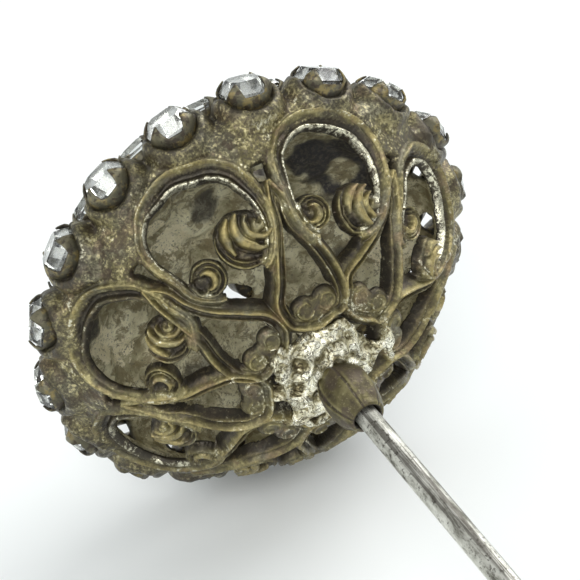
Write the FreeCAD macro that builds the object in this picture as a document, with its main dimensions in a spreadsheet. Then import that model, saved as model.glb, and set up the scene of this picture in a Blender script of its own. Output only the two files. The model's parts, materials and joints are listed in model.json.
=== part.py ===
# A dome-headed dress hat pin: an openwork brass back shell and a stone-set
# front crown make the hollow head, and a long steel pin is soldered into a bulb
# ferrule at the middle of the back.
#
# Units are millimetres. Every sub-part is first made in the head's own frame:
# the origin is the centre of the head's widest circle, +Z runs along the pin
# towards its tip, and +Y points up when the pin lies on a table. The last step
# lays the whole pin on Z = 0 on a rim stone and the pin's tip, with the tip
# towards -Y and the bounding box centred over the origin.

import FreeCAD, Part
import Sketcher

import math
import os

from FreeCAD import Placement, Rotation, Vector

DIMENSIONS = {
    # Openwork back shell: a dished dome, one knuckle arc and one cap arc.
    "shell_radius": 16.17,
    "shell_height": 11.84,
    "knuckle_radius": 6.0,
    "shell_wall": 0.7,
    "shell_edge_height": 1.9,
    "apex_hole_radius": 1.1,
    "sector_count": 8,
    "sector_phase": 6.2,
    # Windows, placed by the angle between their line to the cap's centre and the pin.
    "loop_window_angle": 49.9,
    "loop_window_width": 6.6,
    "loop_window_height": 3.3,
    "drop_window_angle": 27.0,
    "drop_window_radius": 1.6,
    "drop_window_point": 4.6,
    "gap_window_angle": 32.5,
    "gap_window_radius": 1.0,
    "window_depth": 3.4,
    "window_start": 1.0,
    # Stone-set front crown.
    "crown_wall": 0.6,
    "seat_half_width": 1.25,
    "rim_seat_half_width": 1.0,
    "skirt_radius": 14.9,
    "skirt_height": 2.2,
    "piercing_radius": 0.65,
    # Rows of stones: girdle circle, height, outward tilt from the radius, number.
    "rim_row_radius": 16.3,
    "rim_row_height": -0.1,
    "rim_row_tilt": 22.0,
    "rim_row_count": 18,
    "second_row_radius": 13.8,
    "second_row_height": -2.35,
    "second_row_tilt": 55.0,
    "second_row_count": 18,
    "third_row_radius": 9.4,
    "third_row_height": -4.4,
    "third_row_tilt": 67.0,
    "third_row_count": 12,
    "inner_row_radius": 4.8,
    "inner_row_height": -5.75,
    "inner_row_tilt": 80.0,
    "inner_row_count": 6,
    "centre_row_radius": 0.0,
    "centre_row_height": -6.15,
    "centre_row_tilt": 90.0,
    "centre_row_count": 1,
    # One faceted stone.
    "girdle_radius": 1.72,
    "table_radius": 1.15,
    "stone_crown": 0.9,
    "stone_pavilion": 1.4,
    "culet_radius": 0.45,
    # One cup setting with its claws, measured from its base.
    "cup_depth": 1.6,
    "cup_base_radius": 1.25,
    "cup_rim_radius": 2.03,
    "cup_wall": 0.2,
    "cup_lip": 0.1,
    "claw_count": 4,
    "claw_width": 1.0,
    "claw_reach": 1.2,
    "claw_height": 0.72,
    "claw_tip": 0.16,
    # Solder round the foot of the ferrule.
    "patch_radius": 4.5,
    "patch_crest_radius": 3.7,
    "patch_thickness": 0.55,
    "patch_bore_radius": 1.65,
    # Bulb ferrule.
    "ferrule_foot_radius": 1.25,
    "ferrule_foot_height": 11.85,
    "ferrule_mouth_height": 16.4,
    "ferrule_mouth_radius": 1.35,
    "ferrule_side_radius": 4.05,
    "ferrule_bore_radius": 0.83,
    "ferrule_opening_radius": 1.1,
    "ferrule_opening_depth": 1.2,
    # Steel pin.
    "pin_radius": 0.8,
    "pin_root_height": 11.0,
    "pin_neck_radius": 0.78,
    "pin_neck_height": 16.1,
    "pin_shank_height": 16.75,
    "pin_tip_height": 197.0,
    "pin_taper_length": 14.0,
    "pin_tip_radius": 0.08,
}

ROWS = ("rim", "second", "third", "inner", "centre")
STONE_SIDES = 8

doc = FreeCAD.newDocument("hat_pin")
sheet = doc.addObject("Spreadsheet::Sheet", "dims")
parts = []


def fill_sheet():
    for number, (alias, value) in enumerate(DIMENSIONS.items(), start=1):
        sheet.set("A%d" % number, alias.replace("_", " "))
        sheet.set("B%d" % number, str(value))
        sheet.setAlias("B%d" % number, alias)
    doc.recompute()


def dim(alias):
    return float(getattr(sheet, alias))


def value_of(expression):
    result = sheet.evalExpression(expression)
    return float(getattr(result, "Value", result))


# Small helpers for bodies and sketches.


def origin_feature(body, role):
    return [item for item in body.Origin.OriginFeatures if item.Role == role][0]


def new_body(label):
    body = doc.addObject("PartDesign::Body", label)
    body.Label = label
    return body


def new_sketch(body, name, role):
    sketch = body.newObject("Sketcher::SketchObject", name)
    sketch.AttachmentSupport = [(origin_feature(body, role), "")]
    sketch.MapMode = "FlatFace"
    return sketch


def bind(sketch, constraint, expression):
    """Add a dimension to a sketch and tie it to the sheet."""
    index = sketch.addConstraint(constraint)
    sketch.setExpression("Constraints[%d]" % index, expression)
    return index


def place_point(sketch, line, end, across, up):
    """Hold one end of a line or arc at two expressions measured from the origin."""
    if value_of(across) == 0:
        sketch.addConstraint(Sketcher.Constraint("PointOnObject", line, end, -2))
    else:
        bind(sketch, Sketcher.Constraint("DistanceX", -1, 1, line, end, value_of(across)), across)
    if value_of(up) == 0:
        sketch.addConstraint(Sketcher.Constraint("PointOnObject", line, end, -1))
    else:
        bind(sketch, Sketcher.Constraint("DistanceY", -1, 1, line, end, value_of(up)), up)


def close_loop(sketch, count):
    for index in range(count):
        following = (index + 1) % count
        sketch.addConstraint(Sketcher.Constraint("Coincident", index, 2, following, 1))


def polygon_profile(sketch, corners):
    """A closed outline of straight lines through corners given as expressions."""
    points = [Vector(value_of(across), value_of(up), 0) for across, up in corners]
    for index, point in enumerate(points):
        following = points[(index + 1) % len(points)]
        sketch.addGeometry(Part.LineSegment(point, following), False)
    close_loop(sketch, len(points))
    for index, (across, up) in enumerate(corners):
        place_point(sketch, index, 1, across, up)


def revolve(body, sketch, name):
    turned = body.newObject("PartDesign::Revolution", name)
    turned.Profile = sketch
    turned.ReferenceAxis = (origin_feature(body, "Z_Axis"), [""])
    turned.Angle = 360
    body.Tip = turned
    doc.recompute()
    return turned


def turn_about_pin(body, features, name, count):
    pattern = body.newObject("PartDesign::PolarPattern", name)
    pattern.Originals = features
    pattern.Axis = (origin_feature(body, "Z_Axis"), [""])
    pattern.Angle = 360
    pattern.setExpression("Occurrences", count)
    body.Tip = pattern
    doc.recompute()
    return pattern


def arc_between(centre, radius, start, end):
    """The arc of a circle about centre that runs anticlockwise from start to end."""
    circle = Part.Circle(centre, Vector(0, 0, 1), radius)
    first = math.atan2(start.y - centre.y, start.x - centre.x)
    last = math.atan2(end.y - centre.y, end.x - centre.x)
    return Part.ArcOfCircle(circle, first, last)


# Openwork back shell.

CAP_RADIUS = (
    "((dims.shell_radius ^ 2 + dims.shell_height ^ 2 - 2 * dims.shell_radius * dims.knuckle_radius)"
    " / (2 * (dims.shell_height - dims.knuckle_radius)))"
)
CAP_CENTRE = "(dims.shell_height - %s)" % CAP_RADIUS
KNUCKLE_CENTRE = "(dims.shell_radius - dims.knuckle_radius)"


def dome_arcs(offset):
    """The knuckle and cap arcs of the dome, moved inwards by offset, and their ends."""
    knuckle_centre = Vector(value_of(KNUCKLE_CENTRE), 0, 0)
    cap_centre = Vector(0, value_of(CAP_CENTRE), 0)
    knuckle = dim("knuckle_radius") - offset
    cap = value_of(CAP_RADIUS) - offset
    edge = dim("shell_edge_height")
    hole = dim("apex_hole_radius")
    low = Vector(knuckle_centre.x + math.sqrt(knuckle ** 2 - edge ** 2), edge, 0)
    away = (knuckle_centre - cap_centre).normalize()
    tangent = cap_centre + away * cap
    top = Vector(hole, cap_centre.y + math.sqrt(cap ** 2 - hole ** 2), 0)
    return (
        arc_between(knuckle_centre, knuckle, low, tangent),
        arc_between(cap_centre, cap, tangent, top),
        low,
        top,
    )


def shell_profile(sketch):
    outer_knuckle, outer_cap, outer_low, outer_top = dome_arcs(0.0)
    inner_knuckle, inner_cap, inner_low, inner_top = dome_arcs(dim("shell_wall"))
    sketch.addGeometry(outer_knuckle, False)
    sketch.addGeometry(outer_cap, False)
    sketch.addGeometry(Part.LineSegment(outer_top, inner_top), False)
    sketch.addGeometry(inner_cap, False)
    sketch.addGeometry(inner_knuckle, False)
    sketch.addGeometry(Part.LineSegment(inner_low, outer_low), False)
    knuckle, cap, hole_edge, inside_cap, inside_knuckle, rim_edge = range(6)
    for first, first_end, second, second_end in (
        (cap, 2, hole_edge, 1),
        (hole_edge, 2, inside_cap, 2),
        (inside_knuckle, 1, rim_edge, 1),
        (rim_edge, 2, knuckle, 1),
    ):
        sketch.addConstraint(Sketcher.Constraint("Coincident", first, first_end, second, second_end))
    sketch.addConstraint(Sketcher.Constraint("Tangent", knuckle, 2, cap, 1))
    sketch.addConstraint(Sketcher.Constraint("Tangent", inside_knuckle, 2, inside_cap, 1))
    sketch.addConstraint(Sketcher.Constraint("Coincident", knuckle, 3, inside_knuckle, 3))
    sketch.addConstraint(Sketcher.Constraint("Coincident", cap, 3, inside_cap, 3))
    sketch.addConstraint(Sketcher.Constraint("Vertical", hole_edge))
    sketch.addConstraint(Sketcher.Constraint("Horizontal", rim_edge))
    place_point(sketch, knuckle, 3, KNUCKLE_CENTRE, "0")
    sketch.addConstraint(Sketcher.Constraint("PointOnObject", cap, 3, -2))
    bind(sketch, Sketcher.Constraint("DistanceY", -1, 1, cap, 3, value_of(CAP_CENTRE)), CAP_CENTRE)
    bind(sketch, Sketcher.Constraint("Radius", knuckle, dim("knuckle_radius")), "dims.knuckle_radius")
    inside = "dims.knuckle_radius - dims.shell_wall"
    bind(sketch, Sketcher.Constraint("Radius", inside_knuckle, value_of(inside)), inside)
    edge = dim("shell_edge_height")
    bind(sketch, Sketcher.Constraint("DistanceY", -1, 1, knuckle, 1, edge), "dims.shell_edge_height")
    hole = dim("apex_hole_radius")
    bind(sketch, Sketcher.Constraint("DistanceX", -1, 1, cap, 2, hole), "dims.apex_hole_radius")


def window_sketch(body, name, angle_alias, turn):
    """A sketch facing the dome, its Y axis pointing up the dome towards the apex."""
    angle = math.radians(dim(angle_alias))
    out = Vector(math.sin(angle), 0, math.cos(angle))
    up = Vector(-math.cos(angle), 0, math.sin(angle))
    facing = Rotation(Vector(0, 1, 0), up, out, "ZYX")
    reach = value_of(CAP_RADIUS) + dim("window_start")
    stand = Placement(Vector(0, 0, value_of(CAP_CENTRE)) + out * reach, facing)
    sketch = new_sketch(body, name, "XY_Plane")
    sketch.AttachmentOffset = Placement(Vector(), Rotation(Vector(0, 0, 1), turn)).multiply(stand)
    return sketch


def loop_outline(sketch):
    """A slot: the eye of one C-scroll."""
    half = dim("loop_window_height") / 2
    reach = dim("loop_window_width") / 2 - half
    right = Part.Circle(Vector(reach, 0, 0), Vector(0, 0, 1), half)
    left = Part.Circle(Vector(-reach, 0, 0), Vector(0, 0, 1), half)
    quarter = math.pi / 2
    sketch.addGeometry(Part.ArcOfCircle(right, -quarter, quarter), False)
    sketch.addGeometry(Part.LineSegment(Vector(reach, half, 0), Vector(-reach, half, 0)), False)
    sketch.addGeometry(Part.ArcOfCircle(left, quarter, 3 * quarter), False)
    sketch.addGeometry(Part.LineSegment(Vector(-reach, -half, 0), Vector(reach, -half, 0)), False)
    for index in range(4):
        sketch.addConstraint(Sketcher.Constraint("Tangent", index, 2, (index + 1) % 4, 1))
    sketch.addConstraint(Sketcher.Constraint("Equal", 0, 2))
    sketch.addConstraint(Sketcher.Constraint("PointOnObject", 0, 3, -1))
    sketch.addConstraint(Sketcher.Constraint("Symmetric", 0, 3, 2, 3, -1, 1))
    bind(sketch, Sketcher.Constraint("Radius", 0, half), "dims.loop_window_height / 2")
    centres = "dims.loop_window_width - dims.loop_window_height"
    bind(sketch, Sketcher.Constraint("DistanceX", 2, 3, 0, 3, 2 * reach), centres)


def drop_outline(sketch):
    """A drop with its round end up the dome and its point down it."""
    radius = dim("drop_window_radius")
    point = Vector(0, -dim("drop_window_point"), 0)
    lean = math.asin(radius / dim("drop_window_point"))
    right = Vector(radius * math.cos(lean), -radius * math.sin(lean), 0)
    left = Vector(-right.x, right.y, 0)
    circle = Part.Circle(Vector(), Vector(0, 0, 1), radius)
    sketch.addGeometry(Part.ArcOfCircle(circle, -lean, math.pi + lean), False)
    sketch.addGeometry(Part.LineSegment(left, point), False)
    sketch.addGeometry(Part.LineSegment(point, right), False)
    sketch.addConstraint(Sketcher.Constraint("Tangent", 0, 2, 1, 1))
    sketch.addConstraint(Sketcher.Constraint("Coincident", 1, 2, 2, 1))
    sketch.addConstraint(Sketcher.Constraint("Tangent", 2, 2, 0, 1))
    sketch.addConstraint(Sketcher.Constraint("Coincident", 0, 3, -1, 1))
    sketch.addConstraint(Sketcher.Constraint("PointOnObject", 1, 2, -2))
    bind(sketch, Sketcher.Constraint("Radius", 0, radius), "dims.drop_window_radius")
    bind(sketch, Sketcher.Constraint("DistanceY", 1, 2, -1, 1, -point.y), "dims.drop_window_point")


def gap_outline(sketch):
    """The round gap below a scroll's two curls."""
    radius = dim("gap_window_radius")
    sketch.addGeometry(Part.Circle(Vector(), Vector(0, 0, 1), radius), False)
    sketch.addConstraint(Sketcher.Constraint("Coincident", 0, 3, -1, 1))
    bind(sketch, Sketcher.Constraint("Radius", 0, radius), "dims.gap_window_radius")


def build_back_shell():
    body = new_body("back_shell")
    profile = new_sketch(body, "ShellProfile", "XZ_Plane")
    shell_profile(profile)
    dome = revolve(body, profile, "ShellDome")
    half_sector = 180.0 / dim("sector_count")
    pockets = []
    for name, alias, turn, outline in (
        ("LoopWindow", "loop_window_angle", half_sector, loop_outline),
        ("DropWindow", "drop_window_angle", 0.0, drop_outline),
        ("GapWindow", "gap_window_angle", half_sector, gap_outline),
    ):
        sketch = window_sketch(body, name + "Sketch", alias, turn)
        outline(sketch)
        pocket = body.newObject("PartDesign::Pocket", name)
        pocket.Profile = sketch
        pocket.setExpression("Length", "dims.window_depth")
        body.Tip = pocket
        doc.recompute()
        pockets.append(pocket)
    require(pockets[-1].Shape.Volume < dome.Shape.Volume - 1.0, "the first windows cut the shell")
    turned = turn_about_pin(body, pockets, "Sectors", "dims.sector_count")
    require(turned.Shape.Volume < pockets[-1].Shape.Volume - 1.0, "the other windows cut the shell")
    body.Placement = Placement(Vector(), Rotation(Vector(0, 0, 1), dim("sector_phase")))
    parts.append(body)


# Rows of stones and their settings.


def row_directions(row):
    """The outward normal and the direction towards the back, in the half-plane of a row."""
    tilt = math.radians(dim(row + "_row_tilt"))
    return Vector(math.cos(tilt), 0, -math.sin(tilt)), Vector(math.sin(tilt), 0, math.cos(tilt))


def row_base(row):
    """The middle of a cup's base in a row, in the XZ half-plane."""
    out, back = row_directions(row)
    girdle = Vector(dim(row + "_row_radius"), 0, dim(row + "_row_height"))
    return girdle - out * dim("cup_depth")


def row_angles(row):
    """Where a row's stones stand round the pin; the middle rows start half a step round."""
    count = int(dim(row + "_row_count"))
    step = 360.0 / count
    first = 90.0 + (0.0 if row in ("rim", "centre") else step / 2)
    return [first + step * index for index in range(count)]


def row_placement(row, turn, height):
    """A frame on a cup's axis: Z outwards, X towards the back of the head."""
    out, back = row_directions(row)
    facing = Rotation(back, out.cross(back), out, "ZXY")
    stand = Placement(row_base(row) + out * height, facing)
    return Placement(Vector(), Rotation(Vector(0, 0, 1), turn)).multiply(stand)


def build_front_crown():
    """The plate under the settings: a flat conical seat for each row, and a skirt."""
    outside = [Vector(dim("skirt_radius"), 0, dim("skirt_height"))]
    inside = [outside[0] - Vector(dim("crown_wall"), 0, 0)]
    for row in ROWS:
        out, back = row_directions(row)
        half = dim("rim_seat_half_width" if row == "rim" else "seat_half_width")
        ends = [row_base(row) + back * half, row_base(row) - back * half]
        if row == "centre":
            ends[1] = row_base(row)
        outside += ends
        inside += [end - out * dim("crown_wall") for end in ends]
    outline = outside + inside[::-1]
    face = Part.Face(Part.makePolygon(outline + outline[:1]))
    plate = doc.addObject("Part::Feature", "CrownPlate")
    plate.Shape = face.revolve(Vector(), Vector(0, 0, 1), 360)
    drills = []
    for outer_row, inner_row in (("second", "third"), ("third", "inner")):
        drills += drill_ring(outer_row, inner_row)
    holes = doc.addObject("Part::Compound", "Piercings")
    holes.Links = drills
    crown = doc.addObject("Part::Cut", "front_crown")
    crown.Base = plate
    crown.Tool = holes
    crown.Label = "front_crown"
    doc.recompute()
    require(crown.Shape.Volume < plate.Shape.Volume - 1.0, "the piercings cut the crown")
    parts.append(crown)


def drill_ring(outer_row, inner_row):
    """Drills for the round piercings between two rows of settings."""
    outer_out, outer_back = row_directions(outer_row)
    inner_out, inner_back = row_directions(inner_row)
    middle = (row_base(outer_row) + row_base(inner_row)) * 0.5
    out = (outer_out + inner_out).normalize()
    count = int(dim(outer_row + "_row_count"))
    gap = 180.0 / count
    drills = []
    for index, angle in enumerate(row_angles(outer_row)):
        drill = doc.addObject("Part::Cylinder", "%s_drill_%02d" % (outer_row, index + 1))
        drill.setExpression("Radius", "dims.piercing_radius")
        drill.Height = 4 * dim("crown_wall")
        turn = Placement(Vector(), Rotation(Vector(0, 0, 1), angle + gap))
        stand = Placement(middle - out * drill.Height.Value * 0.7, Rotation(Vector(0, 0, 1), out))
        drill.Placement = turn.multiply(stand)
        drills.append(drill)
    return drills


def build_setting():
    """One cup with four claws. Its origin is the middle of the base, +Z outwards."""
    body = new_body("setting_pattern")
    rim_height = "dims.cup_depth + dims.cup_lip"
    profile = new_sketch(body, "CupProfile", "XZ_Plane")
    polygon_profile(
        profile,
        [
            ("0", "0"),
            ("dims.cup_base_radius", "0"),
            ("dims.cup_rim_radius", rim_height),
            ("dims.cup_rim_radius - dims.cup_wall", rim_height),
            ("dims.cup_base_radius - dims.cup_wall", "dims.cup_wall"),
            ("0", "dims.cup_wall"),
        ],
    )
    revolve(body, profile, "Cup")
    claw = new_sketch(body, "ClawProfile", "XZ_Plane")
    tip = "%s + dims.claw_height" % rim_height
    polygon_profile(
        claw,
        [
            ("dims.cup_rim_radius - dims.cup_wall", "dims.cup_depth"),
            ("dims.cup_rim_radius - dims.cup_wall / 4", "dims.cup_depth"),
            ("dims.cup_rim_radius", rim_height),
            ("dims.claw_reach + dims.claw_tip", tip),
            ("dims.claw_reach", "%s - dims.claw_tip / 2" % tip),
            ("dims.cup_rim_radius - dims.cup_wall", rim_height),
        ],
    )
    pad = body.newObject("PartDesign::Pad", "Claw")
    pad.Profile = claw
    pad.SideType = "Symmetric"
    pad.setExpression("Length", "dims.claw_width")
    body.Tip = pad
    doc.recompute()
    turn_about_pin(body, [pad], "Claws", "dims.claw_count")
    return body


def build_settings(pattern):
    """One node of settings for each row of stones, with a claw on each diagonal."""
    for row in ROWS:
        links = []
        for index, angle in enumerate(row_angles(row)):
            link = doc.addObject("App::Link", "%s_cup_%02d" % (row, index + 1))
            link.LinkedObject = pattern
            diagonal = Placement(Vector(), Rotation(Vector(0, 0, 1), 45.0))
            link.Placement = row_placement(row, angle, 0.0).multiply(diagonal)
            links.append(link)
        name = "centre_setting" if row == "centre" else row + "_row_settings"
        group = doc.addObject("Part::Compound", name)
        group.Links = links
        group.Label = name
        parts.append(group)
    doc.recompute()


def stone_outline(sketch):
    """A regular octagon with one flat side facing the back of the head."""
    radius = dim("girdle_radius")
    corners = []
    for index in range(STONE_SIDES):
        angle = 2 * math.pi * (index - 0.5) / STONE_SIDES
        corners.append(Vector(radius * math.cos(angle), radius * math.sin(angle), 0))
    for index, corner in enumerate(corners):
        sketch.addGeometry(Part.LineSegment(corner, corners[(index + 1) % STONE_SIDES]), False)
    close_loop(sketch, STONE_SIDES)
    ring = sketch.addGeometry(Part.Circle(Vector(), Vector(0, 0, 1), radius), True)
    sketch.addConstraint(Sketcher.Constraint("Coincident", ring, 3, -1, 1))
    bind(sketch, Sketcher.Constraint("Radius", ring, radius), "dims.girdle_radius")
    for index in range(STONE_SIDES):
        sketch.addConstraint(Sketcher.Constraint("PointOnObject", index, 1, ring))
    for index in range(STONE_SIDES - 1):
        sketch.addConstraint(Sketcher.Constraint("Equal", index, index + 1))
    sketch.addConstraint(Sketcher.Constraint("Vertical", 0))


def build_stone(label, placement):
    """A faceted stone on its girdle: a table above and a blunt point below."""
    body = new_body(label)
    outline = new_sketch(body, label + "_girdle", "XY_Plane")
    stone_outline(outline)
    pad = body.newObject("PartDesign::Pad", label + "_cut")
    pad.Profile = outline
    pad.SideType = "Two sides"
    flat = "cos(180 deg / %d)" % STONE_SIDES
    above = "(dims.girdle_radius - dims.table_radius) * %s / dims.stone_crown" % flat
    below = "(dims.girdle_radius - dims.culet_radius) * %s / dims.stone_pavilion" % flat
    pad.setExpression("Length", "dims.stone_crown")
    pad.setExpression("Length2", "dims.stone_pavilion")
    pad.setExpression("TaperAngle", "-atan(%s)" % above)
    pad.setExpression("TaperAngle2", "-atan(%s)" % below)
    body.Tip = pad
    body.Placement = placement
    return body


def build_stones():
    """Stones are numbered round each row; the inner six are one node."""
    for row in ROWS:
        made = []
        angles = row_angles(row)
        for index, angle in enumerate(angles):
            label = "centre_stone" if row == "centre" else "%s_stone_%02d" % (row, index + 1)
            made.append(build_stone(label, row_placement(row, angle, dim("cup_depth"))))
        if row == "inner":
            group = doc.addObject("Part::Compound", "inner_row_stones")
            group.Links = made
            group.Label = "inner_row_stones"
            made = [group]
        parts.extend(made)
    doc.recompute()


# Solder, ferrule and pin.


def build_solder_patch():
    body = new_body("solder_patch")
    profile = new_sketch(body, "PatchProfile", "XZ_Plane")
    centre = Vector(0, value_of(CAP_CENTRE), 0)
    hole = dim("patch_bore_radius")
    low = value_of(CAP_RADIUS)
    high = low + dim("patch_thickness")
    ends = []
    for radius, across in ((low, dim("patch_radius")), (high, dim("patch_crest_radius"))):
        outer = Vector(across, centre.y + math.sqrt(radius ** 2 - across ** 2), 0)
        inner = Vector(hole, centre.y + math.sqrt(radius ** 2 - hole ** 2), 0)
        ends.append((outer, inner))
    (low_outer, low_inner), (high_outer, high_inner) = ends
    profile.addGeometry(arc_between(centre, low, low_outer, low_inner), False)
    profile.addGeometry(Part.LineSegment(low_inner, high_inner), False)
    profile.addGeometry(arc_between(centre, high, high_outer, high_inner), False)
    profile.addGeometry(Part.LineSegment(high_outer, low_outer), False)
    under, bore, crest, edge = range(4)
    for first, first_end, second, second_end in (
        (under, 2, bore, 1),
        (bore, 2, crest, 2),
        (crest, 1, edge, 1),
        (edge, 2, under, 1),
    ):
        profile.addConstraint(Sketcher.Constraint("Coincident", first, first_end, second, second_end))
    profile.addConstraint(Sketcher.Constraint("Coincident", under, 3, crest, 3))
    profile.addConstraint(Sketcher.Constraint("PointOnObject", under, 3, -2))
    profile.addConstraint(Sketcher.Constraint("Vertical", bore))
    bind(profile, Sketcher.Constraint("DistanceY", -1, 1, under, 3, centre.y), CAP_CENTRE)
    bind(profile, Sketcher.Constraint("Radius", under, low), CAP_RADIUS)
    thick = "%s + dims.patch_thickness" % CAP_RADIUS
    bind(profile, Sketcher.Constraint("Radius", crest, high), thick)
    bind(profile, Sketcher.Constraint("DistanceX", -1, 1, bore, 1, hole), "dims.patch_bore_radius")
    wide = dim("patch_radius")
    bind(profile, Sketcher.Constraint("DistanceX", -1, 1, under, 1, wide), "dims.patch_radius")
    crown = dim("patch_crest_radius")
    bind(profile, Sketcher.Constraint("DistanceX", -1, 1, crest, 1, crown), "dims.patch_crest_radius")
    revolve(body, profile, "Patch")
    parts.append(body)


def build_pin_ferrule():
    body = new_body("pin_ferrule")
    profile = new_sketch(body, "FerruleProfile", "XZ_Plane")
    foot = Vector(dim("ferrule_foot_radius"), dim("ferrule_foot_height"), 0)
    mouth = Vector(dim("ferrule_mouth_radius"), dim("ferrule_mouth_height"), 0)
    opening = Vector(dim("ferrule_opening_radius"), mouth.y, 0)
    throat = Vector(dim("ferrule_bore_radius"), mouth.y - dim("ferrule_opening_depth"), 0)
    root = Vector(throat.x, foot.y, 0)
    radius = dim("ferrule_side_radius")
    chord = mouth - foot
    inward = Vector(-chord.y, chord.x, 0).normalize()
    depth = math.sqrt(radius ** 2 - (chord.Length / 2) ** 2)
    centre = (foot + mouth) * 0.5 + inward * depth
    profile.addGeometry(arc_between(centre, radius, foot, mouth), False)
    for start, end in ((mouth, opening), (opening, throat), (throat, root), (root, foot)):
        profile.addGeometry(Part.LineSegment(start, end), False)
    close_loop(profile, 5)
    bind(profile, Sketcher.Constraint("Radius", 0, radius), "dims.ferrule_side_radius")
    mouth_height = "dims.ferrule_mouth_height"
    place_point(profile, 0, 1, "dims.ferrule_foot_radius", "dims.ferrule_foot_height")
    place_point(profile, 1, 1, "dims.ferrule_mouth_radius", mouth_height)
    place_point(profile, 2, 1, "dims.ferrule_opening_radius", mouth_height)
    throat_height = "%s - dims.ferrule_opening_depth" % mouth_height
    place_point(profile, 3, 1, "dims.ferrule_bore_radius", throat_height)
    place_point(profile, 4, 1, "dims.ferrule_bore_radius", "dims.ferrule_foot_height")
    revolve(body, profile, "Bulb")
    parts.append(body)


def build_pin_shank():
    """A pointed wire with a slightly thinner neck, where solder holds it in the ferrule."""
    body = new_body("pin_shank")
    profile = new_sketch(body, "ShankProfile", "XZ_Plane")
    polygon_profile(
        profile,
        [
            ("0", "dims.pin_root_height"),
            ("dims.pin_neck_radius", "dims.pin_root_height"),
            ("dims.pin_neck_radius", "dims.pin_neck_height"),
            ("dims.pin_radius", "dims.pin_shank_height"),
            ("dims.pin_radius", "dims.pin_tip_height - dims.pin_taper_length"),
            ("dims.pin_tip_radius", "dims.pin_tip_height"),
            ("0", "dims.pin_tip_height"),
        ],
    )
    revolve(body, profile, "Shank")
    parts.append(body)


# Lying pose, checks and output.


def lying_placement():
    """Tilt the pin onto the rim stone under it and its tip, then centre its box."""
    out, back = row_directions("rim")
    flat = math.cos(math.pi / STONE_SIDES)
    girdle = Vector(dim("rim_row_radius"), 0, dim("rim_row_height"))
    contact = girdle + out * dim("stone_crown") + back * dim("table_radius") * flat
    rise = contact.x - dim("pin_tip_radius")
    run = dim("pin_tip_height") - contact.z
    slope = math.atan2(rise, run)
    along = Vector(0, -math.cos(slope), -math.sin(slope))
    up = Vector(0, -math.sin(slope), math.cos(slope))
    turned = Placement(Vector(), Rotation(Vector(1, 0, 0), up, along, "ZYX"))
    whole = Part.makeCompound([part.Shape for part in parts])
    whole.Placement = turned
    box = whole.optimalBoundingBox(False)
    shift = Vector(-box.Center.x, -box.Center.y, -box.ZMin)
    print("slope of the pin: %.3f degrees" % math.degrees(slope))
    print("size: %.2f x %.2f x %.2f mm" % (box.XLength, box.YLength, box.ZLength))
    return Placement(shift, turned.Rotation)


def require(condition, message):
    if not condition:
        raise RuntimeError("not true: " + message)


def check_document():
    for item in doc.Objects:
        bad = [state for state in item.State if state in ("Invalid", "Error")]
        require(not bad, "%s is sound" % item.Name)
    for part in parts:
        require(not part.Shape.isNull(), "%s has a shape" % part.Label)
        require(part.Shape.isValid(), "%s has a valid shape" % part.Label)
        require(part.Shape.Solids, "%s is solid" % part.Label)


def write_parts():
    os.makedirs("parts", exist_ok=True)
    for part in parts:
        part.Shape.exportStep("parts/%s.step" % part.Label)
    print("%d nodes" % len(parts))


fill_sheet()
build_back_shell()
build_front_crown()
build_settings(build_setting())
build_stones()
build_solder_patch()
build_pin_ferrule()
build_pin_shank()
lying = lying_placement()
for part in parts:
    part.Placement = lying.multiply(part.Placement)
doc.recompute()
check_document()
write_parts()
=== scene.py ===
import json
import math

import bpy
import numpy as np
from mathutils import Matrix, Vector


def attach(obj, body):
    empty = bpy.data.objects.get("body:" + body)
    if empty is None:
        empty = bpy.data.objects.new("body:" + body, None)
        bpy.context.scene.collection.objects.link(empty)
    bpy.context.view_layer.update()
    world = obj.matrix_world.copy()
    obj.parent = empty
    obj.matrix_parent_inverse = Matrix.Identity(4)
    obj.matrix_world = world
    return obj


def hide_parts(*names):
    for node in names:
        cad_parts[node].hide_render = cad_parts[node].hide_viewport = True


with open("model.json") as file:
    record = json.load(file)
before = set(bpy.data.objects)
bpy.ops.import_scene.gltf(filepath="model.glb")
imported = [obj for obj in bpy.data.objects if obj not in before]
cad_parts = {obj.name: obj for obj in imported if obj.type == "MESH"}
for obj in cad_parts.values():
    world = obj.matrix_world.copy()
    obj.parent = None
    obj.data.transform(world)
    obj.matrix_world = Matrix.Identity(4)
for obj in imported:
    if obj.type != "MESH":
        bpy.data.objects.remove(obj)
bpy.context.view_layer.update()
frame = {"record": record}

# The head's own frame, in millimetres: the origin is the centre of the head's
# widest circle, Z runs along the pin to its tip, Y points up as the pin lies.
MM = 0.001
SHANK_MIDDLE = 99.875
shank = next(m for m in frame["record"]["mounts"] if m["name"] == "shank")
TO_TIP = np.array(shank["axis"]) / np.linalg.norm(shank["axis"])
ACROSS = np.array([1, 0, 0])
UPWARD = np.cross(TO_TIP, ACROSS)
PIN_SLOPE = math.atan2(-TO_TIP[2], -TO_TIP[1])
HEAD_AXES = np.array([ACROSS, UPWARD, TO_TIP])
HEAD_ORIGIN = np.array(shank["pos_m"]) / MM - TO_TIP * SHANK_MIDDLE

# Dished dome of the back shell: a knuckle arc and a cap arc that meet tangentially.
SHELL_RADIUS = 16.17
SHELL_HEIGHT = 11.84
KNUCKLE = 6
KNUCKLE_OUT = SHELL_RADIUS - KNUCKLE
CAP = (SHELL_RADIUS ** 2 + SHELL_HEIGHT ** 2 - 2 * SHELL_RADIUS * KNUCKLE) / (2 * (SHELL_HEIGHT - KNUCKLE))
CAP_UP = SHELL_HEIGHT - CAP
KNUCKLE_LEAN = math.atan2(-CAP_UP, KNUCKLE_OUT)
KNUCKLE_ARC = KNUCKLE * KNUCKLE_LEAN
DOME_ARC = KNUCKLE_ARC + CAP * (math.pi / 2 - KNUCKLE_LEAN)

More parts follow.
